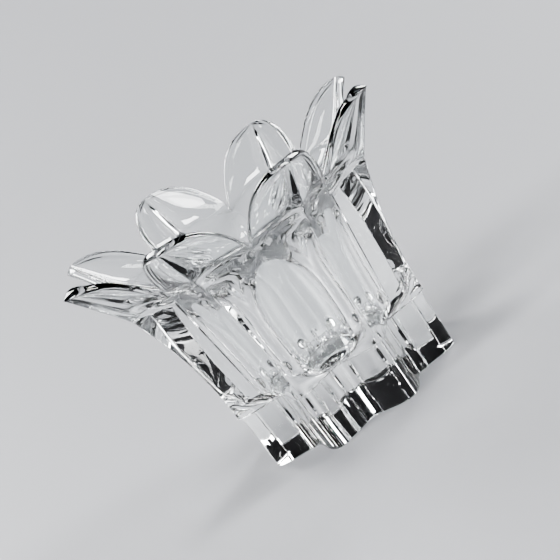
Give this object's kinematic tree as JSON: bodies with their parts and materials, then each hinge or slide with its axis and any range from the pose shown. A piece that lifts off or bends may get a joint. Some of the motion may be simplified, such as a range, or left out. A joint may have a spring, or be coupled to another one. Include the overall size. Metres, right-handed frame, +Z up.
{
  "type": "glass flower holder",
  "caption": "Clear pressed-glass holder shaped like an open lotus, with a pointed star foot, a tapering round cup and a ring of flared pointed petals",
  "frame": {"origin": "centre of the foot's flat underside, on the table", "axes": "+Z up through the middle of the cup, -Y toward the viewer between two petals, +X to the viewer's right"},
  "size_m": [0.1156, 0.1156, 0.0891],
  "materials": {
    "crystal": "clear fire-polished pressed crystal glass"
  },
  "bodies": {
    "root": {"foot": "crystal", "cup_floor": "crystal", "wall_1": "crystal", "wall_2": "crystal", "wall_3": "crystal", "wall_4": "crystal", "wall_5": "crystal", "wall_6": "crystal", "wall_7": "crystal", "wall_8": "crystal", "petal_1": "crystal", "petal_2": "crystal", "petal_3": "crystal", "petal_4": "crystal", "petal_5": "crystal", "petal_6": "crystal", "petal_7": "crystal", "petal_8": "crystal"}
  },
  "joints": []
}
